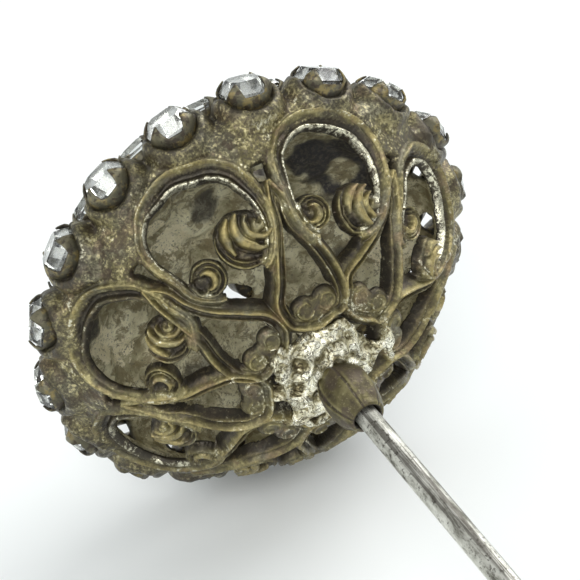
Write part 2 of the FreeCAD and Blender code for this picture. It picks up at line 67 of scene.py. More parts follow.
SECTORS = 8
SECTOR_STEP = 360 / SECTORS
FIRST_LOOP = 28.7

# Rows of stones: girdle circle, height, outward tilt from the radius, number, first angle.
ROWS = {
    "rim": (16.3, -0.1, 22, 18, 90),
    "second": (13.8, -2.35, 55, 18, 100),
    "third": (9.4, -4.4, 67, 12, 105),
    "inner": (4.8, -5.75, 80, 6, 120),
    "centre": (0, -6.15, 90, 1, 90),
}
CUP_DEPTH = 1.6


def to_row(points):
    """Points in the head's frame, in millimetres, to the row frame in metres."""
    return (np.asarray(points) @ HEAD_AXES + HEAD_ORIGIN) * MM


def seat_turns(name):
    """The turn of every seat in a row, in degrees."""
    count, first = ROWS[name][3:]
    return first + 360 / count * np.arange(count)


def seat_frames(name):
    """For every seat in a row: its girdle's centre, outward axis and the axis towards the back."""
    radius, rise, tilt = ROWS[name][:3]
    lean = math.radians(tilt)
    tip = np.array([0, 0, 1])
    for turn in np.radians(seat_turns(name)):
        radial = np.array([math.cos(turn), math.sin(turn), 0])
        out = math.cos(lean) * radial - math.sin(lean) * tip
        back = math.sin(lean) * radial + math.cos(lean) * tip
        yield radius * radial + rise * tip, out, back


# Seeded smooth noise.
def lattice_noise(points, size, seed):
    """Smooth noise from -1 to 1 with bumps about size millimetres across."""
    table = np.random.default_rng(seed).uniform(-1, 1, (32, 32, 32))
    scaled = points / size
    cell = np.floor(scaled).astype(int)
    part = scaled - cell
    part = part * part * (3 - 2 * part)
    total = np.zeros(points.shape[:-1])
    for corner in np.ndindex(2, 2, 2):
        weight = np.ones(points.shape[:-1])
        for axis in range(3):
            share = part[..., axis]
            weight = weight * (share if corner[axis] else 1 - share)
        index = (cell + corner) & 31
        total += weight * table[index[..., 0], index[..., 1], index[..., 2]]
    return total


def rough(points, size, seed, octaves=3):
    """Layers of smooth noise, each half the size and half the strength of the last."""
    return sum(lattice_noise(points, size / 2 ** n, seed + n) / 2 ** n for n in range(octaves))


def smoothstep(low, high, value):
    share = np.clip((value - low) / (high - low), 0, 1)
    return share * share * (3 - 2 * share)


def spun(radius, angle, rise):
    """Points at a radius, an angle in radians and a height about an axis."""
    return np.stack(np.broadcast_arrays(radius * np.cos(angle), radius * np.sin(angle), rise), axis=-1)


# Surfaces of revolution that carry relief.
def dome(turn, arc, height):
    """Points on the back dome: turn in degrees, arc from the rim circle, height along the normal."""
    on_knuckle = arc < KNUCKLE_ARC
    lean = np.where(on_knuckle, arc / KNUCKLE, KNUCKLE_LEAN + (arc - KNUCKLE_ARC) / CAP)
    radius = np.where(on_knuckle, KNUCKLE_OUT + KNUCKLE * np.cos(lean), CAP * np.cos(lean))
    rise = np.where(on_knuckle, KNUCKLE * np.sin(lean), CAP_UP + CAP * np.sin(lean))
    return spun(radius + height * np.cos(lean), np.radians(turn), rise + height * np.sin(lean))


def smooth_path(points, count):
    """A Catmull-Rom curve through points, as count even steps of its parameter."""
    points = np.asarray(points, float)
    padded = np.vstack([2 * points[0] - points[1], points, 2 * points[-1] - points[-2]])
    place = np.linspace(0, len(points) - 1, count)
    index = np.minimum(place.astype(int), len(points) - 2)
    t = (place - index)[:, None]
    p0, p1, p2, p3 = (padded[index + k] for k in range(4))
    return 0.5 * (2 * p1 + (p2 - p0) * t + (2 * p0 - 5 * p1 + 4 * p2 - p3) * t ** 2
                  + (3 * p1 - p0 - 3 * p2 + p3) * t ** 3)


def running_length(path):
    """How far along a path each of its points lies."""
    return np.concatenate([[0], np.cumsum(np.linalg.norm(np.diff(path, axis=0), axis=1))])


def columns_at(place, steps, table):
    """Each column of a table whose rows belong to steps, read at a place between them."""
    return [np.interp(place, steps, column) for column in table.T]


# The front crown's line, from its skirt's edge to its middle: radius and height.
CROWN_PATH = smooth_path([(14.25, 2.2), (14.35, 1.3), (14.35, 0.55), (13.95, -0.1), (12.85, -0.95),
                          (11.2, -1.95), (9, -2.95), (6.8, -3.7), (4.5, -4.2), (2.2, -4.5), (0.4, -4.6)],
                         400)
CROWN_STEPS = running_length(CROWN_PATH)
CROWN_ARC = CROWN_STEPS[-1]
CROWN_LINE = np.hstack([CROWN_PATH, np.gradient(CROWN_PATH, CROWN_STEPS, axis=0)])


def crown(turn, arc, height):
    """Points on the front crown: arc from the skirt's edge, height towards the inside."""
    radius, rise, slope_out, slope_up = columns_at(arc, CROWN_STEPS, CROWN_LINE)
    return spun(radius + height * slope_up, np.radians(turn), rise - height * slope_out)


def crown_arc(place, axis=0):
    """Where along the crown's line its radius is place, or its height if axis is 1."""
    return CROWN_STEPS[np.argmin(np.abs(CROWN_PATH[:, axis] - place))]


# In millimetres: the depth of a point outside the sheet, a strip's reach from its line, the room worked
# round a disc or hole, the edge that still takes a feature's height, and the least thickness.
OUTSIDE = -9.0
STRIP_REACH = 2.4
BESIDE = 0.6
EDGE_MARGIN = 0.15
THINNEST = 0.08
# The share of a cell over which a point moves onto an edge, and how much painted shade the inner faces get.
SNAP_SHARE = 0.55
UNDERSIDE_PAINTED_SHADE = 0.7
# A mask that takes in the whole grid.
WHOLE = slice(None)


class Relief:
    """A pierced sheet on a surface of revolution, worked as height fields on a fine grid.

    solid is the distance into the sheet from its nearest edge, in millimetres.
    """

    def __init__(self, surface, first, last, around, along, ground):
        self.surface = surface
        self.turns = np.arange(around) * 360 / around
        self.arcs = np.linspace(first, last, along)
        self.turn, self.arc = np.meshgrid(self.turns, self.arcs, indexing="ij")
        self.points = surface(self.turn, self.arc, 0)
        self.normal = surface(self.turn, self.arc, 1) - self.points
        self.solid = np.full(self.turn.shape, OUTSIDE)
        self.height = np.full(self.turn.shape, ground)
        self.silver, self.gold, self.stain, self.speckle = np.zeros((4, *self.turn.shape))

    def near(self, line, reach):
        """The grid points whose distance to a line is worth working out."""
        radius = max(np.hypot(*self.surface(line[:, 0], line[:, 1], 0)[:, :2].T).min(), 1)
        (turn_low, arc_low), (turn_high, arc_high) = line.min(axis=0), line.max(axis=0)
        half = (turn_high - turn_low) / 2 + math.degrees(reach / radius)
        apart = np.abs((self.turn - (turn_low + turn_high) / 2 + 180) % 360 - 180)
        return (apart < half) & (self.arc > arc_low - reach) & (self.arc < arc_high + reach)

    def measure(self, line, reach):
        """The grid near a line: its mask, distance right of the line and share along the line."""
        mask = self.near(line, reach)
        spots = self.points[mask]
        normals = self.normal[mask]
        knots = self.surface(line[:, 0], line[:, 1], 0)
        best = np.full(len(spots), np.inf)
        side = np.ones(len(spots))
        share = np.zeros(len(spots))
        count = len(knots) - 1
        for index in range(count):
            step = knots[index + 1] - knots[index]
            offset = spots - knots[index]
            raw = offset @ step / (step @ step)
            on = np.clip(raw, 0, 1)
            gap = offset - on[:, None] * step
            apart = np.einsum("ij,ij->i", gap, gap)
            closer = apart < best
            best[closer] = apart[closer]
            right = np.einsum("ij,ij->i", offset, np.cross(step, normals))
            side[closer] = np.sign(right[closer])
            share[closer] = (index + raw[closer]) / count
        return mask, np.sqrt(best) * side, share

    def lay(self, mask, solid, height, silver, gold):
        """Adds one feature: the sheet grows by it, and the higher surface wins."""
        self.solid[mask] = np.maximum(self.solid[mask], solid)
        wins = (height > self.height[mask]) & (solid > -EDGE_MARGIN)
        for field, value in ((self.height, height), (self.silver, silver), (self.gold, gold)):
            kept = field[mask]
            kept[wins] = np.broadcast_to(value, kept.shape)[wins]
            field[mask] = kept

    def strip(self, line, profile, taper, sink=0, open_ends=True):
        """A strip along a line with a cross-section, widened by taper along its length."""
        mask, apart, share = self.measure(line, STRIP_REACH)
        width = np.interp(share, np.linspace(0, 1, len(taper)), taper)
        place = apart / np.maximum(width, 0.05)
        solid = np.minimum(place - profile[0, 0], profile[-1, 0] - place) * width
        if open_ends:
            solid = np.where((share < 0) | (share > 1), OUTSIDE, solid)
        height, silver, gold = columns_at(place, profile[:, 0], profile[:, 1:])
        self.lay(mask, solid, height * np.maximum(width, 0.4) - sink, silver, gold)

    def disc(self, turn, arc, radius, height, dished=0):
        """A round plate; dished lifts its middle."""
        mask, apart, _ = self.measure(np.array([(turn, arc), (turn + 0.01, arc)]), radius + BESIDE)
        apart = np.abs(apart)
        lift = dished * (1 - (apart / radius) ** 2)
        self.lay(mask, radius - apart, height + lift, 0, 0)

    def pierce(self, turn, arc, radius, stretch=1):
        """A round hole, or an oval one that is stretch times as wide as it is high."""
        middle = self.surface(turn, arc, 0)
        mask = self.near(np.array([(turn, arc)]), radius * max(stretch, 1) + BESIDE)
        offset = self.points[mask] - middle
        angle = math.radians(turn)
        sideways = offset @ np.array([-math.sin(angle), math.cos(angle), 0])
        rest = np.sqrt(np.maximum(np.einsum("ij,ij->i", offset, offset) - sideways ** 2, 0))
        apart = np.hypot(sideways / stretch, rest)
        self.solid[mask] = np.minimum(self.solid[mask], apart - radius)

    def snapped(self):
        """The grid with its points beside an edge moved onto the edge, and which are in the sheet."""
        radius = np.hypot(self.points[..., 0], self.points[..., 1])
        across = radius * math.radians(360 / len(self.turns))
        along = self.arcs[1] - self.arcs[0]
        slope_turn = (np.roll(self.solid, -1, 0) - np.roll(self.solid, 1, 0)) / (2 * across)
        slope_arc = np.gradient(self.solid, along, axis=1)
        steep = np.maximum(slope_turn ** 2 + slope_arc ** 2, 1e-6)
        move_turn = -self.solid * slope_turn / steep
        move_arc = -self.solid * slope_arc / steep
        close = (np.abs(move_turn) < SNAP_SHARE * across) & (np.abs(move_arc) < SNAP_SHARE * along)
        close &= steep > 0.04
        turn = np.where(close, self.turn + np.degrees(move_turn / radius), self.turn)
        arc = np.where(close, self.arc + move_arc, self.arc)
        return turn, arc, close | (self.solid > 0), close

    def mesh(self, name, under, rounding, drop):
        """The closed sheet as a mesh. under(height) is its inner face; edges fall by drop over rounding."""
        turn, arc, kept, edge = self.snapped()
        depth = np.where(edge, 0, np.maximum(self.solid, 0))
        top = self.height - drop * (1 - smoothstep(0, rounding, depth)) ** 2
        bottom = under(self.height)
        upper = self.surface(turn, arc, top).reshape(-1, 3)
        lower = self.surface(turn, arc, np.minimum(bottom, top - THINNEST)).reshape(-1, 3)
        size = self.turn.size
        here = np.arange(size).reshape(self.turn.shape)
        ahead = np.roll(here, -1, 0)
        corners = np.stack([here[:, :-1], ahead[:, :-1], ahead[:, 1:], here[:, 1:]], axis=-1).reshape(-1, 4)
        inside = kept.ravel()[corners]
        quads = corners[inside.all(axis=1)]
        three = inside.sum(axis=1) == 3
        triangles = corners[three][inside[three]].reshape(-1, 3)
        edges = np.concatenate([np.stack([f, np.roll(f, -1, 1)], -1).reshape(-1, 2)
                                for f in (quads, triangles)])
        there = edges[:, 0] * size + edges[:, 1]
        back = edges[:, 1] * size + edges[:, 0]
        border = edges[~np.isin(there, back)]
        walls = np.stack([border[:, 1], border[:, 0], border[:, 0] + size, border[:, 1] + size], -1)
        every = [quads, triangles, quads[:, ::-1] + size, triangles[:, ::-1] + size, walls]
        used = np.zeros(2 * size, bool)
        for group in every:
            used[group.ravel()] = True
        number = np.cumsum(used) - 1
        points = np.concatenate([upper, lower])[used]
        bare = np.zeros(top.shape)
        # The inner faces carry painted shade.
        faces = {"relief": (top, bottom), "silver": (self.silver, bare), "gold": (self.gold, bare),
                 "speckle": (self.speckle, bare), "stain": (self.stain, bare + UNDERSIDE_PAINTED_SHADE)}
        fields = {field: np.stack(pair).ravel()[used] for field, pair in faces.items()}
        return new_piece(name, to_row(points), [number[group] for group in every], fields)


def new_object(name, data):
    """A new object in the scene."""
    thing = bpy.data.objects.new(name, data)
    bpy.context.scene.collection.objects.link(thing)
    return thing


def new_piece(name, points, face_groups, fields):
    """A mesh object from points in metres and arrays of faces, with its number fields."""
    mesh = bpy.data.meshes.new(name)
    faces = [face for group in face_groups for face in group.tolist()]
    mesh.from_pydata(points.tolist(), [], faces)
    for field, values in fields.items():
        attribute = mesh.attributes.new(field, "FLOAT", "POINT")
        attribute.data.foreach_set("value", np.asarray(values, np.float32))
    mesh.polygons.foreach_set("use_smooth", [True] * len(mesh.polygons))
    mesh.update()
    return new_object(name, mesh)


def stand_for(piece, material, slot, *nodes):
    """Gives a piece its material, and puts it on the body in place of CAD nodes. slot is not used."""
    if material is not None:
        piece.data.materials.append(material)
    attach(piece, "root")
    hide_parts(*nodes)


# Materials.
class Nodes:
    """A short way to write a node tree. Colours are given without their alpha."""

    def __init__(self, name):
        self.material = bpy.data.materials.new(name)
        self.material.use_nodes = True
        self.tree = self.material.node_tree
        self.shader = self.tree.nodes["Principled BSDF"]
        self.place = self.create("TexCoord").outputs["Object"]
        self.colour = None

    def put(self, value, socket):
        """Links one socket to another, or sets a plain value on it."""
        if isinstance(value, bpy.types.NodeSocket):
            self.tree.links.new(value, socket)
        else:
            socket.default_value = (*value, 1.0) if socket.type == "RGBA" else value

    def fill(self, node, values):
        for socket, value in values.items():
            self.put(value, node.inputs[socket.replace("_", " ")])

    def create(self, kind, **values):
        """A new node; values go to its inputs, with underscores for the spaces in their names."""
        node = self.tree.nodes.new("ShaderNode" + kind)
        self.fill(node, values)
        return node

    def field(self, name):
        node = self.create("Attribute")
        node.attribute_name = name
        return node.outputs["Fac"]

    def noise(self, size_mm, detail=3, roughness=0.55, stretch=None, distortion=0):
        """Noise whose blobs are about size_mm across, and stretch times as long along the pin."""
        place = self.place
        if stretch is not None:
            mapping = self.create("Mapping", Vector=place, Rotation=(PIN_SLOPE, 0, 0), Scale=(1, stretch, 1))
            mapping.vector_type = "TEXTURE"
            place = mapping.outputs["Vector"]
        return self.create("TexNoise", Vector=place, Scale=1 / (size_mm * MM), Detail=detail,
                           Roughness=roughness, Distortion=distortion).outputs["Fac"]

    def maths(self, operation, first, second, clamp=False):
        node = self.create("Math")
        node.operation = operation
        node.use_clamp = clamp
        self.put(first, node.inputs[0])
        self.put(second, node.inputs[1])
        return node.outputs[0]

    def add(self, first, second, clamp=False):
        return self.maths("ADD", first, second, clamp)

    def times(self, first, second):
        return self.maths("MULTIPLY", first, second)

    def swing(self, noise, strength):
        """How far a noise is from its middle, times strength."""
        return self.times(self.maths("SUBTRACT", noise, 0.5), strength)

    def between(self, value, low, high, out_low=0, out_high=1):
        """A smooth step from out_low to out_high as value goes from low to high."""
        node = self.create("MapRange", Value=value, From_Min=low, From_Max=high,
                           To_Min=out_low, To_Max=out_high)
        node.interpolation_type = "SMOOTHSTEP"
        return node.outputs["Result"]

    def ramp(self, value, *stops):
        node = self.create("ValToRGB", Fac=value)
        elements = node.color_ramp.elements
        while len(elements) < len(stops):
            elements.new(0.5)
        for element, (place, colour) in zip(elements, stops):
            element.position = place
            element.color = (*colour, 1.0)
        return node.outputs["Color"]

    def paint(self, share, tint):
        """Lays a tint over the colour so far, as much as share says."""
        node = self.create("Mix")
        node.data_type = "RGBA"
        for index, value in ((0, share), (6, self.colour), (7, tint)):
            self.put(value, node.inputs[index])
        self.colour = node.outputs[2]

    def mottle(self, tint, noise, low, high, most):
        """Paints a tint where a noise goes from low to high, and at most that much."""
        self.paint(self.between(noise, low, high, 0, most), tint)

    def bump(self, height, distance_mm, strength):
        """Bumps on the shader, over those of the bump before."""
        node = self.create("Bump", Height=height, Strength=strength, Distance=distance_mm * MM)
        normal = self.shader.inputs["Normal"]
        if normal.is_linked:
            self.put(normal.links[0].from_socket, node.inputs["Normal"])
        self.put(node.outputs["Normal"], normal)

    def finish(self, roughness, metallic, **others):
        self.fill(self.shader, dict(others, Base_Color=self.colour, Roughness=roughness, Metallic=metallic))
        return self.material


PITCH = (0.046, 0.04, 0.03)
UMBER = (0.078, 0.065, 0.042)
OLIVE_DARK = (0.118, 0.101, 0.048)
OLIVE = (0.198, 0.174, 0.076)
OLIVE_PALE = (0.35, 0.308, 0.148)
SLATE = (0.168, 0.17, 0.138)
GOLDEN = (0.4, 0.32, 0.125)
SILVER = (0.72, 0.695, 0.53)


def shell_brass():
    """Stamped brass with silver plate thinned by use: hollows darkened by tarnish and painted shade, olive
    flanks, golden ridges with a painted highlight, bright scuffed lips, and painted shade beside the cups
    and on the lower side.
    """
    n = Nodes("shell_brass")
    blotch = n.noise(1.7, 5, 0.62)
    grain = n.noise(0.2, 5, 0.62)
    fleck = n.noise(0.55, 6, 0.72, distortion=0.5)
    # Dark in the hollows and pale on the crests by relief: tarnish with painted shade.
    level = n.between(n.field("relief"), -0.88, 0.06)
    level = n.add(level, n.swing(blotch, 1.25))
    level = n.add(level, n.swing(fleck, 1.7), clamp=True)
    n.colour = n.ramp(level, (0, PITCH), (0.18, UMBER), (0.48, OLIVE_DARK), (0.76, OLIVE), (1, OLIVE_PALE))
    slate = n.between(n.noise(3.1, 3), 0.48, 0.64, 0, 0.65)
    n.paint(slate, n.ramp(level, (0, PITCH), (0.5, (0.09, 0.084, 0.06)), (1, SLATE)))
    # Painted highlight along the crests, over golden brass.
    gold = n.times(n.field("gold"), n.between(n.noise(0.9, 4), 0.32, 0.58))
    n.paint(gold, GOLDEN)
    copper = n.between(n.noise(1.9, 4, 0.6), 0.54, 0.64, 0, 0.5)
    n.paint(n.times(copper, level), (0.26, 0.165, 0.11))
    pale = n.times(n.between(grain, 0.52, 0.6), n.between(fleck, 0.44, 0.58))
    n.paint(n.times(pale, n.field("speckle")), (0.5, 0.44, 0.24))
    wear_and_painted_light = n.add(n.field("silver"), n.swing(fleck, 2))
    wear_and_painted_light = n.add(wear_and_painted_light, n.swing(n.noise(2.4, 2), 1.2))
    wear_and_painted_light = n.between(n.add(wear_and_painted_light, n.swing(grain, 1.2)), 0.42, 0.72)
    n.paint(wear_and_painted_light, SILVER)
    dirt = n.times(n.between(grain, 0.42, 0.52, 0.8, 0), n.add(n.field("speckle"), 0.25, True))
    n.paint(dirt, UMBER)
    brown = n.between(n.noise(1.25, 5, 0.65), 0.5, 0.6, 0, 0.75)
    brown = n.times(brown, n.add(n.field("speckle"), 0.35, True))
    n.paint(brown, (0.064, 0.046, 0.03))
    # Painted shade: near-black beside the rim cups, on the inner faces and towards the side the head lies
    # on.
    stain = n.times(n.field("stain"), n.between(fleck, 0.62, 0.42, 0.45, 0.95))
    n.paint(stain, PITCH)
    n.bump(grain, 0.03, 0.7)
    n.bump(fleck, 0.08, 0.7)
    return n.finish(n.between(wear_and_painted_light, 0, 1, 0.35, 0.26), n.between(wear_and_painted_light, 0, 1, 0.62, 0.9))


def crown_brass():
    """The smooth inside of the front crown: grey olive with soft patches of painted shade and pale patches
    of painted light.
    """
    n = Nodes("crown_brass")
    cloud = n.noise(2.2, 5, 0.62)
    grain = n.noise(0.26, 5, 0.68)
    crust = n.noise(0.75, 6, 0.74, distortion=0.6)
    level = n.between(n.field("relief"), -0.3, 0.75, -0.05, 0.14)
    n.colour = n.ramp(n.add(cloud, level), (0.24, (0.175, 0.15, 0.088)), (0.4, (0.39, 0.35, 0.198)),
                      (0.54, (0.7, 0.64, 0.41)), (0.72, (0.88, 0.83, 0.57)))
    n.mottle((0.215, 0.176, 0.088), crust, 0.5, 0.58, 0.75)
    n.mottle((0.225, 0.18, 0.085), n.noise(1.5, 5, 0.68, distortion=0.4), 0.49, 0.56, 0.72)
    # Pale patches of painted light, with scuffed specks from the noise.
    wear_and_painted_light = n.add(n.field("silver"), n.swing(crust, 2.6))
    wear_and_painted_light = n.add(wear_and_painted_light, n.swing(grain, 2.2))
    wear_and_painted_light = n.between(wear_and_painted_light, 0.5, 0.9)
    n.paint(wear_and_painted_light, (0.98, 0.9, 0.64))
    n.mottle((0.085, 0.068, 0.042), grain, 0.57, 0.66, 0.75)
    # Painted shade: near-black patches inside and on the outer face.
    stain = n.times(n.field("stain"), n.between(grain, 0.64, 0.46, 0.82, 1))
    n.paint(stain, (0.032, 0.028, 0.027))
    n.bump(grain, 0.04, 0.6)
    n.bump(crust, 0.16, 0.7)
    return n.finish(n.between(cloud, 0.3, 0.7, 0.55, 0.42), n.between(wear_and_painted_light, 0, 1, 0, 0.5))


def claw_brass():
    """Thin stamped cups and claws: dark olive, paler up the wall to the rims and claws as scuffed edges with
    a painted highlight, with painted shade at the foot and inside.
    """
    n = Nodes("claw_brass")
    cloud = n.noise(0.9, 4, 0.6)
    grain = n.noise(0.16, 4, 0.6)
    level = n.add(n.field("relief"), n.swing(cloud, 0.9), clamp=True)
    n.colour = n.ramp(level, (0, PITCH), (0.3, (0.062, 0.058, 0.042)), (0.6, (0.135, 0.124, 0.078)),
                      (1, (0.255, 0.238, 0.16)))
    n.mottle((0.245, 0.19, 0.075), n.noise(0.9, 5, 0.7), 0.5, 0.6, 0.8)
    n.mottle((0.05, 0.038, 0.028), n.noise(0.6, 5, 0.7, distortion=0.4), 0.5, 0.58, 0.85)
    n.bump(grain, 0.04, 0.6)
    n.bump(cloud, 0.1, 0.5)
    return n.finish(n.between(cloud, 0.3, 0.7, 0.48, 0.32), 0.6)


def solder_metal():
    """Soft solder: bright wrinkled grey with brown pits and flux."""
    n = Nodes("solder_metal")
    crease = n.noise(1.1, 6, 0.66, distortion=1.6)
    grain = n.noise(0.2, 5, 0.65)
    level = n.between(n.field("relief"), -0.45, 0.3, -0.09, 0.05)
    n.colour = n.ramp(n.add(crease, level), (0.34, (0.1, 0.08, 0.045)), (0.43, (0.34, 0.3, 0.17)),
                      (0.49, (0.8, 0.75, 0.54)), (0.58, (0.98, 0.96, 0.8)))
    n.mottle((0.22, 0.19, 0.095), n.noise(1.5, 5, 0.65), 0.51, 0.6, 0.65)
    fold = n.maths("SUBTRACT", n.noise(0.9, 4, 0.6, distortion=2), 0.5)
    seam = n.between(n.times(fold, fold), 0, 0.0008, 1, 0)
    n.paint(n.times(seam, 0.85), (0.06, 0.047, 0.028))
    n.mottle((0.12, 0.095, 0.055), grain, 0.57, 0.66, 0.7)
    n.bump(crease, 0.16, 0.8)
    n.bump(n.maths("SUBTRACT", 1, seam), 0.06, 0.8)
    n.bump(grain, 0.03, 0.6)
    return n.finish(n.between(crease, 0.35, 0.65, 0.45, 0.22), 0.85)


def ferrule_brass():
    """The olive bulb, darker in its seams, with a painted highlight line and a mouth painted dark as shade.
    """
    n = Nodes("ferrule_brass")
    cloud = n.noise(1.1, 5, 0.65)
    grain = n.noise(0.2, 4, 0.6)
    level = n.add(n.field("relief"), n.swing(cloud, 1.3), clamp=True)
    n.colour = n.ramp(level, (0, PITCH), (0.3, (0.052, 0.041, 0.024)), (0.6, (0.122, 0.105, 0.046)),
                      (0.95, (0.245, 0.218, 0.105)))
    n.mottle((0.085, 0.064, 0.05), n.noise(1.6, 4, 0.6), 0.5, 0.6, 0.7)
    n.mottle((0.27, 0.24, 0.13), grain, 0.58, 0.66, 0.5)
    n.bump(grain, 0.05, 0.6)
    return n.finish(n.between(cloud, 0.3, 0.7, 0.56, 0.38), 0.6)


def pin_steel():
    """Grey steel wire with lengthwise scratches and dark specks."""
    n = Nodes("pin_steel")
    scratch = n.noise(0.16, 4, 0.65, stretch=25)
    blotch = n.noise(1, 5, 0.7, stretch=3)
    speck = n.noise(0.32, 5, 0.75)
    n.colour = n.ramp(blotch, (0.37, (0.18, 0.175, 0.145)), (0.47, (0.53, 0.525, 0.465)),
                      (0.6, (0.79, 0.785, 0.715)))
    seam = n.between(n.noise(0.42, 3, 0.6, stretch=50), 0.39, 0.47, 0.8, 0)
    n.paint(seam, (0.11, 0.1, 0.085))
    n.mottle((0.06, 0.052, 0.042), speck, 0.54, 0.62, 0.85)
    n.mottle((0.6, 0.595, 0.54), scratch, 0.55, 0.64, 0.6)
    n.bump(scratch, 0.05, 0.8)
    n.bump(speck, 0.04, 0.6)
    return n.finish(n.between(blotch, 0.3, 0.7, 0.48, 0.36), 0.85)


def glass():
    """Clear paste with a few scuffs."""
    n = Nodes("clear_paste")
    scuff = n.between(n.noise(0.35, 5, 0.7), 0.55, 0.75, 0.015, 0.16)
    n.colour = n.ramp(n.noise(1.5, 3), (0.3, (0.93, 0.95, 0.93)), (0.7, (0.99, 1, 0.99)))
    return n.finish(scuff, 0, Transmission_Weight=1, IOR=1.56)


def foil():
    """The silvered back of a stone, tarnished in places."""
    n = Nodes("stone_foil")
    stain = n.noise(0.7, 5, 0.7)
    n.colour = n.ramp(stain, (0.3, (0.42, 0.41, 0.35)), (0.4, (0.88, 0.88, 0.83)), (0.6, (0.97, 0.98, 0.96)))
    return n.finish(n.between(stain, 0.3, 0.7, 0.35, 0.12), 1)


def floor_paper():
    n = Nodes("pale_floor")
    n.colour = n.ramp(n.noise(60, 2), (0.3, (0.86, 0.885, 0.875)), (0.7, (0.88, 0.9, 0.89)))
    return n.finish(0.8, 0)


# The back shell's pattern. Each sector is drawn flat: degrees to the right of the
# scroll's middle as seen from behind, and millimetres of arc from the rim circle.
SCROLL = [(-11.5, 11.35), (-15.6, 10.9), (-18.4, 9.6), (-19.2, 8), (-18.8, 6.4), (-17.4, 4.95), (-14.8, 3.9),
          (-11, 3.15), (-6, 2.68), (0, 2.55), (6, 2.85), (11, 3.55), (15, 4.6), (18, 5.9),
          (19.2, 7.3), (18.8, 8.8), (16.6, 10.2), (12.2, 11.15), (7.5, 11.5)]
DROP_SIDE = [(0, 6.5), (2.3, 8), (4, 9.6), (7.4, 11.3), (14, 13), (20.2, 14.3), (22, 15.3),
             (20.6, 16.35), (12, 17)]
DROP = DROP_SIDE + [(0, 17.2)] + [(-right, up) for right, up in reversed(DROP_SIDE)]
# Inner edge of the margin and top of the scrolls' ridges, by degrees from a scroll's middle.
MARGIN_EDGE = [(0, 2.6), (10, 3.4), (14, 4.3), (17, 5), (19.5, 5.3), (22.5, 5.2)]
RIDGE_TOP = [(0, 2.55), (6, 2.75), (11, 3.4), (15, 4.5), (18, 5.9), (22.5, 7)]
# How far each sector's drop leans back, and how wide the left side of its scroll's lip is.
DROP_LEAN = (0, 0.5, 0, 3.8, 0.4, 0, -0.5, 0.3)
LEFT_LIP = (1.5, 1.1, 0.5, 0.7, 0.8, 0.6, 0.9, 0.8)
# How silvery each scroll's lip is.
LIP_SHINE = (1, 1, 0.9, 0.45, 0.7, 0.8, 0.9, 1)


def section(*rows):
    """A cross-section: distance to the right of the line, height, silver scuffing, and golden tint with a
    painted highlight in each row.
    """
    return np.array([(*row, 0.0, 0.0)[:4] for row in rows])


SCROLL_FLANK = section((-1.15, -1.15), (-0.92, -0.84), (-0.66, -0.58), (-0.44, -0.46), (-0.24, -0.38),
                       (-0.12, -0.14, 0.2, 0.4), (0, 0.06, 0.45, 0.8), (0.08, -0.08, 0.2, 0.3), (0.16, -0.4))
SCROLL_LIP = section((-0.02, 0, 0.2, 0.3), (0.1, -0.3), (0.24, -0.7, -0.6), (0.58, -0.84, -0.6),
                     (0.7, -0.7), (0.82, -0.5, 0.55), (1.02, -0.44, 0.75), (1.18, -0.75, 0.4))
RIB = section((-0.72, -1), (-0.56, -0.74), (-0.4, -0.54), (-0.24, -0.38), (-0.12, -0.08, 0.15, 0.7),
              (-0.02, 0, 0.2, 0.8), (0.1, -0.26, 0, 0.1), (0.24, -0.64), (0.4, -0.54),
              (0.5, -0.28, 0.35, 0.3), (0.6, -0.5), (0.7, -0.95))
RING = section((-1, -1.2), (-0.7, -0.45), (-0.25, -0.04, 0.2, 0.2), (0.25, -0.04, 0.2, 0.2), (0.7, -0.45),
               (1, -1.2))
LEAF = section((-1, -1.5), (-0.8, -0.65, 0, 0.2), (-0.45, -0.12, 0.1, 0.7), (-0.05, 0, 0.15, 0.9),
               (0.4, -0.2, 0, 0.8), (0.75, -0.75, 0, 0.2), (1, -1.5))

# Each curl: centre, reach of its plate, and its ridges. A ridge is an arc: its own centre from the curl's
# (right, towards the apex), first and last radius, first and last angle, half-width, sink and section.
RIGHT_CURL = ((6.4, 9.3), 2.15, [
    ((0, 0), (1.98, 1.9), (222, 66), 0.17, 0.2, RING),
    ((0.1, 0), (1.66, 1.6), (185, 80), 0.16, 0.34, RING),
    ((1.37, -0.55), (0.98, 1), (232, 56), 0.34, 0, LEAF),
    ((1.37, -0.55), (1.62, 1.72), (228, 104), 0.5, -0.04, LEAF),
    ((1.37, -0.55), (2.1, 2.78), (216, 160), 0.44, 0.04, LEAF),
    ((1.3, -0.5), (0.3, 0.26), (230, 10), 0.36, -0.02, RING),
])
LEFT_CURL = ((-11.3, 9.65), 1.38, [
    ((0, 0), (1.22, 1.16), (200, -140), 0.13, 0.12, RING),
    ((0, 0), (0.92, 0.86), (150, -120), 0.11, 0.2, RING),
    ((-0.16, 0), (0.56, 0.6), (-85, 112), 0.34, 0.02, LEAF),
    ((-0.8, 0.1), (0.5, 0.4), (40, 150), 0.14, 0.14, RING),
])
# How large each scroll's right curl is, and how far it sits right and towards the apex.
CURL_SIZE = (0.8, 0.9, 1, 0.84, 0.85, 0.9, 0.8, 0.85)
CURL_SHIFT = ((0.5, 0.6), (0.3, 0.3), (0, 0), (0.3, 0.2), (0.2, 0.2), (0, 0.2), (0.3, 0.3), (0.2, 0.4))
# How a curl's ridge swells and thins along its length, as shares of its half-width.
RIDGE_TAPER = (0.35, 0.85, 1, 0.85, 0.35)


def sector_line(points, middle, rng, count, wander=0.1):
    """A drawn line as turns and arcs on the dome, a little off the drawing as handwork is."""
    points = np.array(points, float)
    shift = rng.normal(0, wander, points.shape) * np.array([4.5, 1])
    shift[[0, -1]] = 0
    path = smooth_path(points + shift, count)
    return np.stack([middle - path[:, 0], path[:, 1]], axis=-1)


def ring_radius(arc):
    """The radius of the dome's circle at an arc."""
    return np.hypot(*dome(0, arc, 0)[:2])


